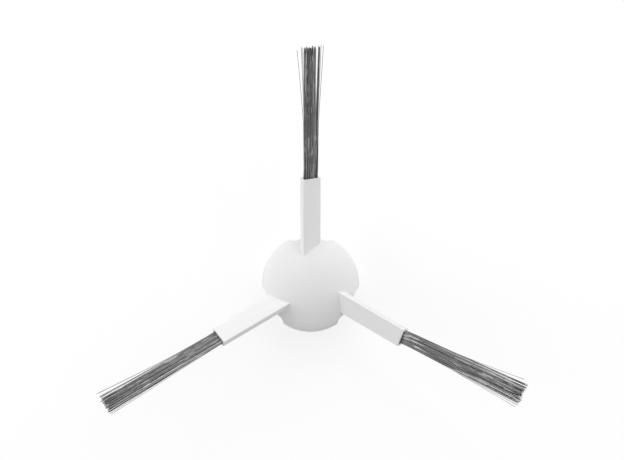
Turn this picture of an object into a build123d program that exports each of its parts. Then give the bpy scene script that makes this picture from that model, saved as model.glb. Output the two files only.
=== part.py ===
from build123d import *
import os
from math import asin, cos, radians, sin, tan

# Side brush of a robot vacuum: a white moulding, which is a domed hub with three arms, and a flat tuft of
# bristles bonded into the end of each arm. Lengths are in millimetres and angles in degrees.
# The hub's axis is Z, with the dome upwards. The origin is where that axis meets the plane of the base rim,
# which is also the mouth of the drive socket. The first arm points along +Y.

# Hub: a spherical crown and a rounded shoulder on a straight skirt, cut flat where each arm leaves it, with a
# shallow upright flute in that flat on each side of the arm
hub_diameter = 31.0
skirt_height = 5.7
shoulder_radius = 3.0
crown_radius = 28.0
flat_distance = 14.0
hub_wall = 1.8
flute_radius = 3.0
flute_depth = 0.45
flute_offset = 5.3

# Underside: a boss for the drive shaft, and ribs that tie it to the hub's wall
boss_diameter = 11.0
rib_count = 6
rib_thickness = 1.2
rib_recess = 1.6
ceiling_cones = 2

# Drive socket: a blind round bore with a keyway under each arm and a groove for the shaft's spring ring
socket_diameter = 6.0
socket_depth = 9.0
keyway_width = 1.2
keyway_depth = 0.9
groove_setback = 3.0
groove_width = 1.0
groove_depth = 0.3

# Arms: flat bars that rise outwards, each rolled about its own axis so that one edge leads
arm_count = 3
arm_width = 6.3
arm_thickness = 2.3
arm_edge_round = 0.3
arm_rise = 18.0
arm_roll = 30.0
arm_axis_height = 5.1
arm_reach = 33.4
mouth_rake = 12.0

# Bristle tufts: a fused root in the arm's pocket, and rows of filaments that fan out towards the tip
tuft_width = 4.8
tuft_thickness = 1.05
tuft_clearance = 0.05
pocket_depth = 12.0
root_inset = 1.0
filament_diameter = 0.24
filament_gap = 0.05
filament_sides = 6
filament_embed = 0.4
bristle_length = 42.8
bristle_ragged = 3.5
fan_width = 6.6
fan_thickness = 2.0

# Values worked out from the sizes above
shoulder_centre = hub_diameter / 2 - shoulder_radius
crown_lean = asin(shoulder_centre / (crown_radius - shoulder_radius))
crown_centre = skirt_height - (crown_radius - shoulder_radius) * cos(crown_lean)
hub_height = crown_centre + crown_radius
arm_turn = 360 / arm_count
arm_slope = radians(arm_rise)
roll = radians(arm_roll)
rake = radians(mouth_rake)
arm_length = arm_reach / cos(arm_slope)
filament_pitch = filament_diameter + filament_gap

# Steps that scatter the filaments' lengths and tips in no visible order
length_step = 0.618
side_step = 0.414
depth_step = 0.732

# Directions on the first arm: along it, square to it in the plane of the hub's axis, down its broad face
# and out of that face
along = Vector(0, cos(arm_slope), sin(arm_slope))
upright = Vector(0, -sin(arm_slope), cos(arm_slope))
across = Vector(cos(roll), 0, 0) - upright * sin(roll)
outward = Vector(sin(roll), 0, 0) + upright * cos(roll)
mouth = Vector(0, arm_reach, arm_axis_height + arm_reach * tan(arm_slope))

# How a cylinder stands on the base plane, and how a box also runs out from the hub's axis along +Y
UPWARDS = (Align.CENTER, Align.CENTER, Align.MIN)
UPWARDS_AND_OUT = (Align.CENTER, Align.MIN, Align.MIN)


def around(shape, count):
    """Evenly turned copies of a shape about the hub's axis, clockwise as seen from above."""
    return [Rot(0, 0, -360 / count * number) * shape for number in range(count)]


def crown_point(inset, lean):
    """The point of the crown, moved inwards by inset, whose radius leans from the axis by an angle."""
    radius = crown_radius - inset
    return radius * sin(lean), crown_centre + radius * cos(lean)


def hub_form(inset, dome):
    """A form that keeps inside the hub by inset: a skirt and a dome, turned and cut flat at each arm."""
    edge = hub_diameter / 2 - inset
    skirt = Polyline((0, crown_centre + crown_radius - inset), (0, 0), (edge, 0), (edge, skirt_height))
    form = revolve(Plane.XZ * make_face([skirt, *dome]), Axis.Z)
    for number in range(arm_count):
        away = Vector(0, 1, 0).rotate(Axis.Z, -arm_turn * number)
        form = split(form, Plane(origin=away * (flat_distance - inset), z_dir=away), keep=Keep.BOTTOM)
    return form


def flutes():
    """The spaces of the flutes: two for each flat, as far to one side of the arm's axis as to the other."""
    centre = flat_distance - flute_depth + flute_radius
    flute = Cylinder(flute_radius, hub_height, align=UPWARDS)
    left = Pos(-flute_offset, centre, 0) * flute
    right = Pos(flute_offset, centre, 0) * flute
    return around(left, arm_count) + around(right, arm_count)


def hub_outside():
    """The hub without its arms, filled: the shoulder's arc runs smoothly into the crown's."""
    shoulder_end = crown_point(0, crown_lean)
    shoulder = TangentArc((hub_diameter / 2, skirt_height), shoulder_end, tangent=(0, 1))
    crown = TangentArc(shoulder_end, crown_point(0, 0), tangent=shoulder % 1)
    return hub_form(0, [shoulder, crown]) - flutes()


def hub_hollows():
    """The spaces inside the wall, under ceilings of plain cones, less the boss and the ribs."""
    leans = [crown_lean * (1 - cone / ceiling_cones) for cone in range(ceiling_cones + 1)]
    cones = [crown_point(hub_wall, lean) for lean in leans]
    ceiling = Polyline((hub_diameter / 2 - hub_wall, skirt_height), *cones)
    boss = Cylinder(boss_diameter / 2, hub_height, align=UPWARDS)
    rib = Pos(0, 0, rib_recess) * Box(rib_thickness, hub_diameter / 2, hub_height, align=UPWARDS_AND_OUT)
    ribs = around(rib, rib_count)
    return hub_form(hub_wall, [ceiling]) - boss - ribs


def arm_section(distance):
    """A plane square to the first arm, at a distance outwards from the middle of its mouth."""
    return Plane(origin=mouth + along * distance, x_dir=across, z_dir=along)


def arm_bar():
    """The first arm as a bar from the hub's axis to its raked mouth."""
    section = arm_section(-arm_length) * RectangleRounded(arm_width, arm_thickness, arm_edge_round)
    bar = extrude(section, amount=arm_length + arm_thickness)
    mouth_plane = Plane(origin=mouth, z_dir=along * cos(rake) + outward * sin(rake))
    return split(bar, mouth_plane, keep=Keep.BOTTOM)


def arm_pocket():
    """The pocket in the first arm's end, which clears the tuft's root and runs out of the mouth."""
    section = Rectangle(tuft_width + 2 * tuft_clearance, tuft_thickness + 2 * tuft_clearance)
    return extrude(arm_section(-pocket_depth) * section, amount=pocket_depth + arm_thickness)


def drive_socket():
    """The space of the socket: the bore, its keyways and the spring ring's groove."""
    bore_radius = socket_diameter / 2
    bore = Cylinder(bore_radius, socket_depth, align=UPWARDS)
    keyway = Box(keyway_width, bore_radius + keyway_depth, socket_depth, align=UPWARDS_AND_OUT)
    ring = Cylinder(bore_radius + groove_depth, groove_width, align=UPWARDS)
    groove = Pos(0, 0, socket_depth - groove_setback) * ring
    return [bore, groove, *around(keyway, arm_count)]


def brush_hub():
    """The whole moulding: the dome and its arms, with the hollows, the drive socket and the pockets cut."""
    hub = hub_outside() + around(arm_bar(), arm_count)
    return hub - hub_hollows() - drive_socket() - around(arm_pocket(), arm_count)


def uneven(number, step):
    """A value from -1 to 1 that jumps about from one number to the next."""
    return 2 * (number * step % 1) - 1


def filament(column, row, columns, rows):
    """One filament, straight from its place in the fused root to its place in the fan at the tip."""
    number = column * rows + row
    side = (column - (columns - 1) / 2) * filament_pitch
    depth = (row - (rows - 1) / 2) * filament_pitch
    start = arm_section(-root_inset - filament_embed)
    end = arm_section(bristle_length - bristle_ragged * (uneven(number, length_step) + 1) / 2)
    scatter = filament_gap / 2
    tip_side = side * fan_width / tuft_width + scatter * uneven(number, side_step)
    tip_depth = depth * fan_thickness / tuft_thickness + scatter * uneven(number, depth_step)
    root_point = start.from_local_coords(Vector(side, depth, 0))
    tip_point = end.from_local_coords(Vector(tip_side, tip_depth, 0))
    run = tip_point - root_point
    foot = Plane(origin=root_point, x_dir=across, z_dir=run)
    return extrude(foot * RegularPolygon(filament_diameter / 2, filament_sides), amount=run.length)


def bristle_tuft():
    """The first arm's tuft: a root block on the pocket's floor, with every filament grown out of it."""
    section = arm_section(-pocket_depth) * Rectangle(tuft_width, tuft_thickness)
    root = extrude(section, amount=pocket_depth - root_inset)
    columns = int((tuft_width - filament_gap) / filament_pitch)
    rows = int((tuft_thickness - filament_gap) / filament_pitch)
    filaments = [filament(column, row, columns, rows) for column in range(columns) for row in range(rows)]
    return root + filaments


os.makedirs("parts", exist_ok=True)
export_step(brush_hub(), "parts/brush_hub.step")
for number, tuft in enumerate(around(bristle_tuft(), arm_count), start=1):
    export_step(tuft, f"parts/bristle_tuft_{number}.step")
print("hub height", round(hub_height, 2), "arm length", round(arm_length, 2))
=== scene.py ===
# %% [markdown]
# # Side brush of a robot vacuum
# The real brush is a white moulding that is pushed onto a shaft under the robot. Its three arms carry flat
# tufts of dark nylon filaments, bonded into a pocket at the end of each arm. The solids come from CAD at
# their real size, in metres, and everything in this lesson is laid over them without moving them.

import bmesh
import bpy
import numpy as np
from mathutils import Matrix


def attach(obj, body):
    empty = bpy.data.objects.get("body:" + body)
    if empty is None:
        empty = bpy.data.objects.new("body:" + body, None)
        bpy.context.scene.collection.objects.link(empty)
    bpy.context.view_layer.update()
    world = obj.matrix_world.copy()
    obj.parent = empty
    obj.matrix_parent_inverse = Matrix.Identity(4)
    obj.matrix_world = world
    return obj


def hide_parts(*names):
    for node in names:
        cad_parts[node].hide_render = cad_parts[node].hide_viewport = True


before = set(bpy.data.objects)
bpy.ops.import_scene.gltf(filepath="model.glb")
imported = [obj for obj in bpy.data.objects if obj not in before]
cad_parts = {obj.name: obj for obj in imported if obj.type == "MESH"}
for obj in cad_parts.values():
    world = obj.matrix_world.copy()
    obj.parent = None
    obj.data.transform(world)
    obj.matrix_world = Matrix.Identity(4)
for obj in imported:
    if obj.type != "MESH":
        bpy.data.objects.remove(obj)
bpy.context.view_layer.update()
metre = 1.0
mm = 0.001 * metre
print("solids", sorted(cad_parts))

# %% [markdown]
# ## From arrays to a mesh
# A long list of vertices is quickest to make as one numpy array. These helpers put such an array, and the
# quads that index it, into a new object. The place of a piece is in its vertices, so its object stays at
# the origin, as the CAD objects do, and a pattern in Object coordinates sits still on it.


# %% A piece from arrays
def new_object(name, data):
    """An object for a mesh, a lamp or a camera, linked into the scene at the origin."""
    thing = bpy.data.objects.new(name, data)
    bpy.context.scene.collection.objects.link(thing)
    return thing


def new_piece(name, points, quads, values):
    """A smooth mesh object from rows of points, rows of four indices and named values, one for each point."""
    mesh = bpy.data.meshes.new(name)
    mesh.from_pydata(points.tolist(), [], quads.tolist())
    for label, value in values.items():
        mesh.attributes.new(label, "FLOAT", "POINT").data.foreach_set("value", value)
    mesh.shade_smooth()
    return new_object(name, mesh)


# %% [markdown]
# ## The moulding
# The hub and its arms are one injection moulding. Its form is right in CAD, but a moulded edge is never
# quite sharp, and the thin bright lines along the edges of the real one come from that. Modelling it again
# would only repeat the CAD, so a copy of its mesh is welded, flat neighbours are joined into whole faces,
# and a narrow bevel rounds every edge.

# %% The moulding with rounded edges
weld_distance = 0.0001 * mm
flat_angle = np.radians(0.3)
edge_angle = np.radians(25)
edge_round = 0.14 * mm
edge_segments = 2


def rounded_moulding(name, node):
    """A welded copy of a CAD node, smooth up to a limiting angle and bevelled beyond it."""
    work = bmesh.new()
    work.from_mesh(node.data)
    bmesh.ops.remove_doubles(work, verts=work.verts, dist=weld_distance)
    bmesh.ops.dissolve_limit(work, angle_limit=flat_angle, verts=work.verts, edges=work.edges)
    mesh = bpy.data.meshes.new(name)
    work.to_mesh(mesh)
    work.free()
    mesh.shade_smooth()
    mesh.set_sharp_from_angle(angle=edge_angle)
    piece = new_object(name, mesh)
    bevel = piece.modifiers.new("moulded edges", "BEVEL")
    bevel.width = edge_round
    bevel.segments = edge_segments
    bevel.limit_method = "ANGLE"
    bevel.angle_limit = edge_angle
    bevel.harden_normals = True
    return piece


moulding = rounded_moulding("moulding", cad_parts["brush_hub"])
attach(moulding, "root")
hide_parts("brush_hub")
print("moulding", len(moulding.data.polygons), "faces before the bevel")

# %% [markdown]
# ## Where a tuft grows
# Each tuft sits in a pocket that is tilted twice: the arm rises, and it is rolled about its own length. The
# two angles could be written here again, but a copy may drift from the CAD. The four corners of the root's
# inner end hold both tilts, so the directions are read from those corners.

# %% The directions of a tuft
pocket_depth = 12.0 * mm
same_point_digits = 7
corner_count = 4
upwards = (0, 0, 1)


def unit(vector):
    """A vector divided by its own length."""
    return vector / np.linalg.norm(vector)


def tuft_place(node):
    """Origin, directions and sizes of a tuft, from the points of its solid nearest to the hub's axis. Those
    are the corners of the root's inner end: the short side gives the thickness, the long one the width, and
    their cross product the direction along the tuft. To the left is level and square to the tuft. side_seen
    and depth_seen are how far to the right a step across the tuft, or out of it, is seen from above."""
    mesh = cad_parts[node].data
    points = np.empty(len(mesh.vertices) * 3)
    mesh.vertices.foreach_get("co", points)
    points = np.unique(points.reshape(-1, 3).round(same_point_digits), axis=0)
    corners = points[np.argsort(np.hypot(points[:, 0], points[:, 1]))[:corner_count]]
    sides = corners[1:] - corners[0]
    thin, wide, _ = sides[np.argsort(np.linalg.norm(sides, axis=1))]
    inner_end = corners.mean(axis=0)
    outward = unit(thin) * np.sign(thin[2])
    along = unit(np.cross(wide, thin))
    along *= np.sign(along @ inner_end)
    across = np.cross(along, outward)
    to_left = unit(np.cross(upwards, along))
    mouth = inner_end + along * pocket_depth
    return {
        "mouth": mouth,
        "along": along,
        "outward": outward,
        "across": across,
        "to_left": to_left,
        "side_seen": across @ -to_left,
        "depth_seen": outward @ -to_left,
        "width": np.linalg.norm(wide),
        "thickness": np.linalg.norm(thin),
        "length": ((points - mouth) @ along).max(),
    }


for node in ("bristle_tuft_1", "bristle_tuft_2", "bristle_tuft_3"):
    place = tuft_place(node)
    sizes = {key: round(float(place[key] / mm), 2) for key in ("width", "thickness", "length")}
    print(node, "in mm", sizes, "along", place["along"].round(3))

# %% [markdown]
# ## The filaments
# A tuft is a flat bundle of cut nylon filaments. Hair particles would draw it quickly, but they leave no
# mesh to export, so each filament is a thin closed tube. All of them are worked out at once: first their
# roots, then an array of middle lines, and last a ring of points round each station of each line.

# %% Roots in loose rows
filament_diameter = 0.16 * mm
column_pitch = 0.18 * mm
row_pitch = 0.2 * mm
root_jitter = 0.03 * mm


def filament_roots(place, rng):
    """Places across and through the root: columns and rows spread evenly over it, about a pitch apart,
    every second row moved by half a pitch, and each place nudged at random."""
    room = np.array([place["width"], place["thickness"]]) - filament_diameter - 2 * root_jitter
    columns = int(room[0] / column_pitch)
    rows = int(room[1] / row_pitch) + 1
    column, row = np.meshgrid(np.arange(columns), np.arange(rows))
    side = ((column + row % 2 / 2) / (columns - 0.5) - 0.5) * room[0]
    depth = (row / (rows - 1) - 0.5) * room[1]
    roots = np.stack([side.ravel(), depth.ravel()], axis=1)
    return roots + rng.uniform(-root_jitter, root_jitter, roots.shape)


# %% [markdown]
# ## Locks
# Filaments that have swept a floor cling together in locks, which narrow towards their tips, so that the
# ground shows between them. Hair tools call it clumping. Here a lock is only a middle, and each filament
# belongs to the nearest one, by where its tip is seen from above. Filaments at the edges of a lock end a
# little sooner, which gives the tuft its ragged end.

# %% Locks
fan_depth = 1.9
lock_scatter = 0.25
tooth_depth = 0.9 * mm
tooth_flat = 0.6
cut_ragged = 0.7 * mm
lock_ragged = 0.5 * mm


def seen_from_above(place, habit, roots):
    """How far to the right of the tuft's middle each tip is seen: the root's place across times the fan, and
    its place through the tuft times the fan in depth, each as far as such a step is seen."""
    return roots @ [habit["fan"] * place["side_seen"], fan_depth * place["depth_seen"]]


def gather_in_locks(seen, locks, rng):
    """Each filament's lock, its offset from the lock's middle and the width of a lock. The middles lie evenly
    over the tuft, each nudged by a random share of the width."""
    reach = np.abs(seen).max()
    width = 2 * reach / locks
    middles = (np.arange(locks) + 0.5) * width - reach
    middles += rng.uniform(-lock_scatter, lock_scatter, locks) * width
    lock = np.abs(seen[:, None] - middles).argmin(axis=1)
    return lock, seen - middles[lock], width


def cut_back(habit, lock, offset, width, rng):
    """How much each filament falls short of the longest: a tooth that grows from 0, at a share of the lock's
    half width, to its full depth at the lock's edge, random parts for the filament and for its lock, and
    the tuft's trim."""
    tooth = np.clip((2 * np.abs(offset) / width - tooth_flat) / (1 - tooth_flat), 0, 1)
    cut = tooth_depth * tooth + cut_ragged * rng.random(len(lock))
    cut += lock_ragged * rng.random(habit["locks"])[lock]
    return cut + habit["trim"]


# %% Waves and leans
wander = 0.04 * mm
fewest_waves = 0.5
most_waves = 1.3
lean = 0.09 * mm
loose_lean = 0.25 * mm
loose_share = 0.25
lock_lean = 0.1 * mm


def slow_waves(h, rng):
    """Waves of the filaments across and through the tuft: size times h times the sine of (a phase plus h
    times a number of waves), all drawn at random."""
    shape = (2, len(h), 1)
    phase = rng.uniform(0, 2 * np.pi, shape)
    waves = rng.uniform(fewest_waves, most_waves, shape)
    size = rng.normal(0, wander, shape)
    return size * h * np.sin(2 * np.pi * waves * h + phase)


def leans(place, habit, lock, offset, rng):
    """How far the tips lean across and through the tuft: a random lean, larger for a loose share of the
    filaments, and across the tuft also the lean of the lock, less pull times the offset in the lock."""
    freedom = np.where(rng.random(len(lock)) < loose_share, loose_lean, lean)
    side, depth = rng.normal(0, freedom, (2, len(lock)))
    side = side + rng.normal(0, lock_lean, habit["locks"])[lock] - habit["pull"] * offset / place["side_seen"]
    return side[:, None], depth[:, None]


# %% Middle lines
station_count = 10
embed = 1.4 * mm
edge_share = 0.6
edge_leave = 0.4
stray_power = 1.2
shift_end = 0.08
bend_power = 1.06


def beyond(h, start):
    """0 up to a start, then even growth with h to 1 at the tip."""
    return np.clip(h - start, 0, None) / (1 - start)


def middle_lines(place, habit, rng):
    """Lines of one tuft as an array of filament, station and x, y, z, and where each tip is seen. With h the
    share of the longest length, from 0 at the mouth to 1 at the tip, a filament lies across the tuft at root
    times (1 + (fan - 1) h) + lean times h + wave, and through it likewise. Near its edges the tuft opens
    with the later part of h, strays move out from where they leave it, and all of it is shifted just outside
    the mouth and bent by bend times a power of h."""
    roots = filament_roots(place, rng)
    seen = seen_from_above(place, habit, roots)
    lock, offset, lock_width = gather_in_locks(seen, habit["locks"], rng)
    cut = cut_back(habit, lock, offset, lock_width, rng)
    rank, leave, out, stray_cut = np.array(habit["strays"]).T[..., None]
    strays = np.argsort(seen)[rank[:, 0].astype(int)]
    cut[strays] = stray_cut[:, 0]

    run = np.linspace(0, 1, station_count)
    distance = -embed + (place["length"] - cut[:, None] + embed) * run
    h = np.clip(distance / place["length"], 0, None)
    wave_side, wave_depth = slow_waves(h, rng)
    lean_side, lean_depth = leans(place, habit, lock, offset, rng)
    across = roots[:, :1] * (1 + (habit["fan"] - 1) * h) + lean_side * h + wave_side
    through = roots[:, 1:] * (1 + (fan_depth - 1) * h) + lean_depth * h + wave_depth

    to_edge = seen[:, None] / np.abs(seen).max()
    opening = habit["open_right"] * (to_edge > edge_share) - habit["open_left"] * (to_edge < -edge_share)
    across += opening * beyond(h, edge_leave)
    across[strays] += out * beyond(h[strays], leave) ** stray_power
    bend = habit["shift"] * np.clip(h / shift_end, 0, 1) + habit["bend"] * h**bend_power
    line = place["mouth"] + distance[..., None] * place["along"] + across[..., None] * place["across"]
    line += through[..., None] * place["outward"] + bend[..., None] * place["to_left"]
    return line, seen


# %% [markdown]
# ## Tubes
# A real filament is round. A curve with a bevel would give one tube, but here arrays of rings give all of
# them in one mesh. Six sides are enough for something a sixth of a millimetre thick, because smooth shading
# hides them, and a smaller ring at the tip keeps the cut end from looking sawn.

# %% Tubes round the lines
tube_sides = 6
ring_count = station_count + 1
tip_length = 0.05 * mm
tip_scale = 0.55


def ring_angles(count):
    """Angles evenly round a full turn."""
    return np.arange(count) / count * 2 * np.pi


def ring_quads(rings, sides):
    """Quads of a closed stack of rings. Walls join a point to the next ring and to the point beside it, and
    at each end a strip of quads runs from one side of the ring to the other."""
    level = np.arange(rings - 1)[:, None] * sides
    here = level + np.arange(sides)
    beside = level + (np.arange(sides) + 1) % sides
    walls = np.stack([here, here + sides, beside + sides, beside], axis=-1).reshape(-1, 4)
    strip = np.arange(sides // 2 - 1)[:, None] * [1, 1, -1, -1]
    first = strip + [0, 1, sides - 2, sides - 1]
    last = first[:, ::-1] + (rings - 1) * sides
    return np.concatenate([walls, first, last])


def tubes(line, place):
    """Closed tubes: points as line plus radius times (cosine across + sine outward), with one more ring of
    a smaller radius just beyond the tip."""
    tip = line[:, -1:] + tip_length * place["along"]
    line = np.concatenate([line, tip], axis=1)
    angle = ring_angles(tube_sides)
    ring = np.cos(angle)[:, None] * place["across"] + np.sin(angle)[:, None] * place["outward"]
    radius = filament_diameter / 2 * np.append(np.ones(station_count), tip_scale)
    points = line[:, :, None, :] + radius[:, None, None] * ring
    first_point = np.arange(len(line))[:, None, None] * ring_count * tube_sides
    quads = ring_quads(ring_count, tube_sides) + first_point
    return points.reshape(-1, 3), quads.reshape(-1, 4)


# %% [markdown]
# ## The fused root
# Inside the pocket the filaments are melted into one block. Only its end shows, a little way inside the
# mouth, as the dark line where the bristles start. A box with a bevel would do, but a rounded rectangle
# carried along the pocket uses the same rings of points as the tubes.

# %% The root block
root_length = 11.0 * mm
root_points = 32
root_power = 0.22
root_stations = np.array([0, 0, 0.01, 0.99, 1, 1])
root_scales = np.array([0.02, 0.9, 1, 1, 0.9, 0.02])


def root_block(place):
    """A superellipse, which is cosine and sine raised to a small power, carried from the pocket's floor to
    the root's outer end. Stations are shares of the root's length, and the rings shrink at both ends."""
    angle = ring_angles(root_points)
    side = np.sign(np.cos(angle)) * np.abs(np.cos(angle)) ** root_power * place["width"] / 2
    depth = np.sign(np.sin(angle)) * np.abs(np.sin(angle)) ** root_power * place["thickness"] / 2
    profile = side[:, None] * place["across"] + depth[:, None] * place["outward"]
    stations = root_stations * root_length - pocket_depth
    rings = place["mouth"] + stations[:, None, None] * place["along"] + root_scales[:, None, None] * profile
    return rings.reshape(-1, 3), ring_quads(len(root_scales), root_points)


# %% [markdown]
# ## Habits
# The tufts come from one tool, but each has its own habit after a little use: the one at the lower right
# bends, the upper one stands open at its right edge, and single filaments stray from all of them. A habit is
# a few values chosen against the photograph, and the rest is a random draw with a fixed seed. Left
# and right are as seen from above, looking out along the arm.
# - locks and pull: how many locks there are, and the share of its offset that a tip is drawn to the middle
# - shift and bend: how far to the left the tuft stands just outside the mouth, and how far its tip bends
# - fan: how many times as wide the tuft is at its tip
# - shade, spread and hairlines: the tuft's grey, and how far single filaments and thin groups depart from it;
#   partly a tone of their own and partly painted light and shade, which also makes one tuft lighter than
#   another
# - glint and dashes: how bright the painted highlight dashes are, and about how many there are along a metre
# - trim: how much all the filaments are cut short
# - open_left and open_right: how far the locks at an edge stand off at their tips
# - strays: rank from the left, or from the right below zero, the share of the length where the stray leaves
#   the tuft, how far to the right its tip moves, and how much it is cut short

# %% Habits of the three tufts
# the shade and glint values partly paint light, shade and highlights into the nylon's colour
habits = {
    "bristle_tuft_1": {
        "seed": 11,
        "locks": 14,
        "pull": 0.32,
        "shift": -0.15 * mm,
        "bend": 0.0,
        "fan": 1.08,
        "shade": 0.155,
        "spread": 0.32,
        "hairlines": 0.15,
        "painted_glint": 0.4,
        "dashes": 240 / metre,
        "trim": 0.45 * mm,
        "open_left": 0.0,
        "open_right": 0.75 * mm,
        "strays": [
            (0, 0.4, -2.2 * mm, 1.4 * mm),
            (1, 0.5, -0.8 * mm, 0.5 * mm),
            (2, 0.55, -0.4 * mm, 0.8 * mm),
            (-1, 0.4, 0.8 * mm, 0.6 * mm),
            (-2, 0.35, 0.3 * mm, 0.4 * mm),
        ],
    },
    "bristle_tuft_2": {
        "seed": 23,
        "locks": 11,
        "pull": 0.32,
        "shift": 0.36 * mm,
        "bend": 3.3 * mm,
        "fan": 1.5,
        "shade": 0.25,
        "spread": 0.4,
        "hairlines": 0.2,
        "painted_glint": 1.0,
        "dashes": 110 / metre,
        "trim": 0.2 * mm,
        "open_left": 0.1 * mm,
        "open_right": 0.1 * mm,
        "strays": [
            (0, 0.4, -1.7 * mm, 2.4 * mm),
            (1, 0.1, -0.4 * mm, 0.9 * mm),
            (-1, 0.3, 1.85 * mm, 1.3 * mm),
            (-2, 0.25, 0.5 * mm, 0.9 * mm),
            (-3, 0.3, 0.3 * mm, 0.5 * mm),
        ],
    },
    "bristle_tuft_3": {
        "seed": 45,
        "locks": 18,
        "pull": 0.3,
        "shift": 0.1 * mm,
        "bend": 0.1 * mm,
        "fan": 1.22,
        "shade": 0.225,
        "spread": 0.5,
        "hairlines": 0.35,
        "painted_glint": 0.55,
        "dashes": 200 / metre,
        "trim": 0.4 * mm,
        "open_left": 0.1 * mm,
        "open_right": 0.1 * mm,
        "strays": [
            (0, 0.1, -0.7 * mm, 1.2 * mm),
            (1, 0.25, -0.4 * mm, 0.6 * mm),
            (-1, 0.35, 1.7 * mm, 0.7 * mm),
            (-2, 0.35, 1.6 * mm, 1.5 * mm),
            (-3, 0.3, 0.6 * mm, 1.1 * mm),
            (-4, 0.3, 0.3 * mm, 1.0 * mm),
        ],
    },
}
print("strays", {node: len(habit["strays"]) for node, habit in habits.items()})

# %% [markdown]
# ## Shades
# On the real tuft some filaments catch the light and others lie in the shade of their neighbours, and short
# bright dashes run along them. Tubes of one colour look flat beside that. A material for each filament would
# be hundreds of materials, so the mesh carries a few values at its points, and one material reads them.
# So the grey of each filament is partly painted light and shade, and the bright dashes are painted
# highlights.

# %% Values on the filaments
shade_rise = 2
shade_fall = 4
hairline_width = 0.33 * mm
edge_power = 6
edge_dark = 0.12
cut_end = 1.5 * mm
cut_end_dark = 0.15
streak_width = 0.2 * mm
streak_mix = 2.5


def filament_values(habit, line, seen, rng):
    """Values of the filaments, some of them ring by ring. Shade, a grey that is partly painted light and
    shade, is the tuft's own, plus spread times a random part, plus hairlines times another, added for one
    group of neighbours and taken off for the next, less a little at the tuft's edges and at the cut ends.
    Dash is the length run times dashes, strand is where the filament is seen in streak widths, mixed at
    random, and glint, the strength of the painted highlight, fades at the tuft's edges."""
    edge = np.abs(seen / np.abs(seen).max()) ** edge_power
    lighter = rng.beta(shade_rise, shade_fall, len(line)) - shade_rise / (shade_rise + shade_fall)
    hairline = np.round((seen - seen.min()) / hairline_width).astype(int)
    by_turns = rng.beta(shade_rise, shade_fall, hairline.max() + 1)[hairline] * (-1.0) ** hairline
    # painted light and shade, mixed with each filament's own random tone
    shade = habit["shade"] + habit["spread"] * lighter + habit["hairlines"] * by_turns - edge_dark * edge
    strand = seen / streak_width + rng.normal(0, streak_mix, len(line)) + habit["seed"]
    run = np.linalg.norm(line - line[:, :1], axis=-1)
    run = np.concatenate([run, run[:, -1:]], axis=1)
    near_end = np.clip((run - run[:, -1:] + cut_end) / cut_end, 0, 1)
    return {
        "shade": shade[:, None] - cut_end_dark * near_end,
        "dash": run * habit["dashes"],
        "strand": strand[:, None],
        # the strength of the painted highlight on each filament
        "painted_glint": habit["painted_glint"] * (1 - edge)[:, None],
    }


# %% Build the tufts
def bristles(name, node, habit):
    """One tuft as a piece: all its filaments and its root block in one mesh. The values of the block are 0,
    which is the darkest shade."""
    rng = np.random.default_rng(habit["seed"])
    place = tuft_place(node)
    line, seen = middle_lines(place, habit, rng)
    tube_points, tube_quads = tubes(line, place)
    block_points, block_quads = root_block(place)
    points = np.concatenate([tube_points, block_points])
    quads = np.concatenate([tube_quads, block_quads + len(tube_points)])
    values = {}
    for label, value in filament_values(habit, line, seen, rng).items():
        on_rings = np.broadcast_to(value, (len(line), ring_count))
        values[label] = np.append(np.repeat(on_rings, tube_sides), np.zeros(len(block_points)))
    piece = new_piece(name, points, quads, values)
    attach(piece, "root")
    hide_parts(node)
    print(name, len(line), "filaments,", len(quads), "faces")
    return piece


tufts = [bristles(f"bristles_{node[-1]}", node, habit) for node, habit in habits.items()]

# %% [markdown]
# ## Finishes
# Both finishes need a gentle unevenness: fine grain that a mould or a die leaves in the surface, and cloudy
# patches that break up an even colour. That is one node group, placed in each material with its own sizes.

# %% The grain group
grain_detail = 2.0
cloud_detail = 4.0
grain = bpy.data.node_groups.new("moulded grain", "ShaderNodeTree")
grain.interface.new_socket("Grain per metre", in_out="INPUT", socket_type="NodeSocketFloat")
grain.interface.new_socket("Clouds per metre", in_out="INPUT", socket_type="NodeSocketFloat")
grain.interface.new_socket("Grain", in_out="OUTPUT", socket_type="NodeSocketFloat")
grain.interface.new_socket("Clouds", in_out="OUTPUT", socket_type="NodeSocketFloat")


def new_node(tree, kind, constants=None):
    """A new node of a kind, with constants set on its sockets by their names."""
    node = tree.nodes.new(kind)
    for socket, value in (constants or {}).items():
        node.inputs[socket].default_value = value
    return node


group_in = new_node(grain, "NodeGroupInput")
group_out = new_node(grain, "NodeGroupOutput")
where = new_node(grain, "ShaderNodeTexCoord")
for output, detail in (("Grain", grain_detail), ("Clouds", cloud_detail)):
    noise = new_node(grain, "ShaderNodeTexNoise", {"Detail": detail})
    grain.links.new(where.outputs["Object"], noise.inputs["Vector"])
    grain.links.new(group_in.outputs[f"{output} per metre"], noise.inputs["Scale"])
    grain.links.new(noise.outputs["Fac"], group_out.inputs[output])
print("group", grain.name, [socket.name for socket in grain.interface.items_tree])


# %% Parts that both finishes have
def new_finish(name, sizes):
    """A new material with the grain group in it: the material, its shader and the group's node."""
    material = bpy.data.materials.new(name)
    material.use_nodes = True
    group = new_node(material.node_tree, "ShaderNodeGroup")
    group.node_tree = grain
    for socket, value in sizes.items():
        group.inputs[socket].default_value = value
    return material, material.node_tree.nodes["Principled BSDF"], group


def ramp_between(tree, low, high):
    """A colour ramp from one colour, written as red, green and blue, to another."""
    ramp = new_node(tree, "ShaderNodeValToRGB")
    ramp.color_ramp.elements[0].color = (*low, 1)
    ramp.color_ramp.elements[1].color = (*high, 1)
    return ramp


# %% [markdown]
# ## White plastic
# The moulding is a near-white plastic with a satin skin. One even white would look like paper, so the colour
# and the gloss are cloudy by a few hundredths, and the fine grain of the mould goes into the bump.

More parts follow.
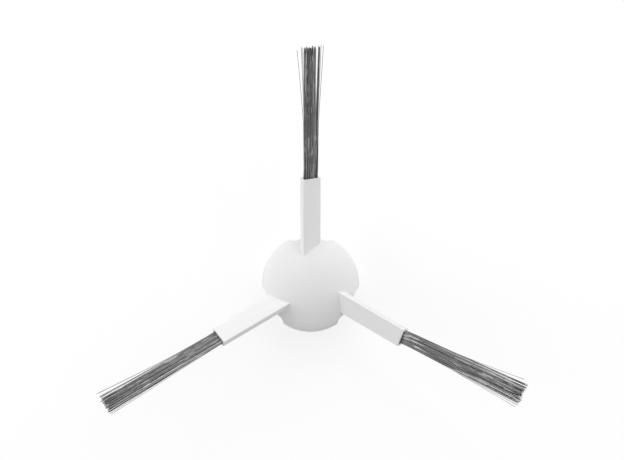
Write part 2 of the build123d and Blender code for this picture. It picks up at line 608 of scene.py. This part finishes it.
# %% White moulded plastic
plastic_grain = 3500 / metre
plastic_clouds = 160 / metre
plastic_low = (0.80, 0.80, 0.80)
plastic_high = (0.83, 0.83, 0.828)
plastic_specular = 0.4
satin_low = 0.38
satin_high = 0.52
grain_strength = 0.6
grain_height = 0.06 * mm


def white_plastic():
    """Near-white plastic: clouds choose its colour and its roughness, and the grain is a bump."""
    sizes = {"Grain per metre": plastic_grain, "Clouds per metre": plastic_clouds}
    material, shader, group = new_finish("white moulded plastic", sizes)
    tree = material.node_tree
    colour = ramp_between(tree, plastic_low, plastic_high)
    rough = new_node(tree, "ShaderNodeMapRange", {"To Min": satin_low, "To Max": satin_high})
    bump = new_node(tree, "ShaderNodeBump", {"Strength": grain_strength, "Distance": grain_height})
    shader.inputs["Specular IOR Level"].default_value = plastic_specular
    tree.links.new(group.outputs["Clouds"], colour.inputs["Fac"])
    tree.links.new(colour.outputs["Color"], shader.inputs["Base Color"])
    tree.links.new(group.outputs["Clouds"], rough.inputs["Value"])
    tree.links.new(rough.outputs["Result"], shader.inputs["Roughness"])
    tree.links.new(group.outputs["Grain"], bump.inputs["Height"])
    tree.links.new(bump.outputs["Normal"], shader.inputs["Normal"])
    return material


moulding.data.materials.clear()
moulding.data.materials.append(white_plastic())
print("finish", moulding.data.materials[0].name)

# %% [markdown]
# ## Dark nylon
# The filaments are drawn nylon, dark grey with a soft gloss. A ramp turns each one's shade into its colour.
# Over it lie the bright dashes, which are painted highlights in the colour: a noise that is read by dash and
# strand instead of by place, so that its spots stretch along a filament and stay with it from every side.

# %% Dark nylon
nylon_grain = 2500 / metre
nylon_dark = (0.04, 0.04, 0.04)
# the light end of the ramp, reached by pale filaments and by the painted highlights
nylon_pale_and_glint = (0.95, 0.95, 0.95)
gloss_low = 0.3
gloss_high = 0.5
streak_scale = 1.0
streak_detail = 1.0
# where the streak noise starts to become a painted highlight, and where it fully is one
glint_start = 0.58
glint_full = 0.66


def mesh_value(tree, name):
    """The socket of one of the values that the mesh carries."""
    reader = new_node(tree, "ShaderNodeAttribute")
    reader.attribute_name = name
    return reader.outputs["Fac"]


def dark_nylon():
    """Dark grey nylon: the ramp is read at shade plus glint times the bright part of the streaks, which
    paints highlights into the colour, and the grain chooses the roughness."""
    material, shader, group = new_finish("dark nylon", {"Grain per metre": nylon_grain})
    tree = material.node_tree
    along_strand = new_node(tree, "ShaderNodeCombineXYZ")
    streak = new_node(tree, "ShaderNodeTexNoise", {"Scale": streak_scale, "Detail": streak_detail})
    bright = new_node(tree, "ShaderNodeMapRange", {"From Min": glint_start, "From Max": glint_full})
    mixed = new_node(tree, "ShaderNodeMath")
    mixed.operation = "MULTIPLY_ADD"
    colour = ramp_between(tree, nylon_dark, nylon_pale_and_glint)
    rough = new_node(tree, "ShaderNodeMapRange", {"To Min": gloss_low, "To Max": gloss_high})
    tree.links.new(mesh_value(tree, "dash"), along_strand.inputs["X"])
    tree.links.new(mesh_value(tree, "strand"), along_strand.inputs["Y"])
    tree.links.new(along_strand.outputs["Vector"], streak.inputs["Vector"])
    # the bright part of the streaks is a painted highlight in the base colour
    tree.links.new(streak.outputs["Fac"], bright.inputs["Value"])
    tree.links.new(bright.outputs["Result"], mixed.inputs[0])
    tree.links.new(mesh_value(tree, "painted_glint"), mixed.inputs[1])
    tree.links.new(mesh_value(tree, "shade"), mixed.inputs[2])
    tree.links.new(mixed.outputs["Value"], colour.inputs["Fac"])
    tree.links.new(colour.outputs["Color"], shader.inputs["Base Color"])
    tree.links.new(group.outputs["Grain"], rough.inputs["Value"])
    tree.links.new(rough.outputs["Result"], shader.inputs["Roughness"])
    return material


nylon = dark_nylon()
for tuft in tufts:
    tuft.data.materials.append(nylon)
print("finish", nylon.name, "on", [tuft.name for tuft in tufts])

# %% [markdown]
# ## Floor
# The photograph has a pure white ground. More light on a white floor would reach that, but it would bleach
# the brush too. So the floor has a share of its own light, which only the camera and mirror-like rays see,
# and the rest is ordinary diffuse white, so the shadow stays on it.

# %% Floor
floor_half = 3.0 * metre
floor_drop = 0.05 * mm
floor_white = 0.45
floor_camera_white = 0.38
floor_glow = 0.66
floor_glow_far = 0.82
glow_start = 0.35 * metre
glow_end = 1.4 * metre


def grey(level):
    """A neutral colour of a level, fully opaque."""
    return (level, level, level, 1)


def seen_directly(tree):
    """1 for a camera, glossy or transmission ray, and 0 for the diffuse rays that carry light about."""
    path = new_node(tree, "ShaderNodeLightPath")
    seen = path.outputs["Is Camera Ray"]
    for ray in ("Is Glossy Ray", "Is Transmission Ray"):
        either = new_node(tree, "ShaderNodeMath")
        either.operation = "MAXIMUM"
        tree.links.new(seen, either.inputs[0])
        tree.links.new(path.outputs[ray], either.inputs[1])
        seen = either.outputs["Value"]
    return seen


def pale_floor():
    """A diffuse floor that adds a plain glow for rays that see it directly. The glow grows with the distance
    from the hub's axis as much as the lamps' light falls off."""
    material = bpy.data.materials.new("pale floor")
    material.use_nodes = True
    tree = material.node_tree
    tree.nodes.clear()
    bounce = new_node(tree, "ShaderNodeBsdfDiffuse", {"Color": grey(floor_white)})
    seen = new_node(tree, "ShaderNodeBsdfDiffuse", {"Color": grey(floor_camera_white)})
    where = new_node(tree, "ShaderNodeTexCoord")
    distance = new_node(tree, "ShaderNodeVectorMath")
    distance.operation = "LENGTH"
    rise = new_node(tree, "ShaderNodeMapRange", {"From Min": glow_start, "From Max": glow_end})
    rise.inputs["To Min"].default_value = floor_glow
    rise.inputs["To Max"].default_value = floor_glow_far
    rise.interpolation_type = "SMOOTHSTEP"
    glow = new_node(tree, "ShaderNodeEmission")
    both = new_node(tree, "ShaderNodeAddShader")
    choose = new_node(tree, "ShaderNodeMixShader")
    output = new_node(tree, "ShaderNodeOutputMaterial")
    tree.links.new(where.outputs["Object"], distance.inputs[0])
    tree.links.new(distance.outputs["Value"], rise.inputs["Value"])
    tree.links.new(rise.outputs["Result"], glow.inputs["Strength"])
    tree.links.new(seen.outputs["BSDF"], both.inputs[0])
    tree.links.new(glow.outputs["Emission"], both.inputs[1])
    tree.links.new(seen_directly(tree), choose.inputs["Fac"])
    tree.links.new(bounce.outputs["BSDF"], choose.inputs[1])
    tree.links.new(both.outputs["Shader"], choose.inputs[2])
    tree.links.new(choose.outputs["Shader"], output.inputs["Surface"])
    return material


floor_mesh = bpy.data.meshes.new("floor")
corners = np.array([[-1, -1, 0], [1, -1, 0], [1, 1, 0], [-1, 1, 0]]) * floor_half - [0, 0, floor_drop]
floor_mesh.from_pydata(corners.tolist(), [], [[0, 1, 2, 3]])
floor_mesh.materials.append(pale_floor())
floor = new_object("floor", floor_mesh)
print("floor", floor_half * 2, "m square")

# %% [markdown]
# ## Light
# The photograph is lit softly from all round, most from the left and from the far side: the left arm is the
# lightest and the near side of the hub the darkest. A dim white world gives the even part, and four large
# square lamps the rest. Rays that see the world directly find it plain white, as they do the floor.

# %% World
ambient = 0.52
world = bpy.data.worlds.new("studio")
bpy.context.scene.world = world
world.use_nodes = True
studio = world.node_tree
studio.nodes.clear()
dim = new_node(studio, "ShaderNodeBackground", {"Color": grey(1), "Strength": ambient})
white = new_node(studio, "ShaderNodeBackground", {"Color": grey(1)})
choose = new_node(studio, "ShaderNodeMixShader")
sky = new_node(studio, "ShaderNodeOutputWorld")
studio.links.new(seen_directly(studio), choose.inputs["Fac"])
studio.links.new(dim.outputs["Background"], choose.inputs[1])
studio.links.new(white.outputs["Background"], choose.inputs[2])
studio.links.new(choose.outputs["Shader"], sky.inputs["Surface"])
print("world", world.name, "strength", ambient)

# %% Lamps
lamp_distance = 0.9 * metre
lamp_size = 0.7 * metre


def soft_lamp(name, toward, watts):
    """A square area lamp at the lamps' distance along a direction from the hub, facing the hub."""
    lamp = bpy.data.lights.new(name, "AREA")
    lamp.size = lamp_size
    lamp.energy = watts
    holder = new_object(name, lamp)
    holder.location = unit(np.array(toward, float)) * lamp_distance
    holder.rotation_mode = "QUATERNION"
    holder.rotation_quaternion = holder.location.to_track_quat("Z", "Y")
    return holder


lamps = [
    soft_lamp("far softbox", (0, 0.95, 0.3), 3.55),
    soft_lamp("left softbox", (-0.97, 0, 0.2), 5.3),
    soft_lamp("right softbox", (0.97, 0, 0.2), 2.2),
    soft_lamp("high softbox", (0.61, 0.61, 0.5), 1.9),
]
print("lamps", [(lamp.name, round(lamp.data.energy, 2)) for lamp in lamps])

# %% [markdown]
# ## Camera
# The photograph looks straight down the hub's axis through a long lens, with the first arm up the picture.
# The hub is below the middle of the picture. A shifted lens would give that, but it is simpler to stand the
# camera as far along the first arm and to look straight down from there.

# %% Look straight down
picture_width = 624
picture_middle = np.array([312.0, 230.0])
hub_pixel = np.array([310.5, 283.3])
focal_pixels = 1950.0
pixel_size = 0.3196 * mm
rim_height = 5.7 * mm
right, down = (picture_middle - hub_pixel) * pixel_size
lens = bpy.data.cameras.new("camera")
lens.lens = focal_pixels / picture_width * lens.sensor_width
camera = new_object("camera", lens)
camera.location = (right, -down, rim_height + focal_pixels * pixel_size)
bpy.context.scene.camera = camera
bpy.context.scene.view_settings.view_transform = "Standard"
print("camera", [round(c / mm, 2) for c in camera.location], "mm, lens", round(lens.lens, 2), "mm")
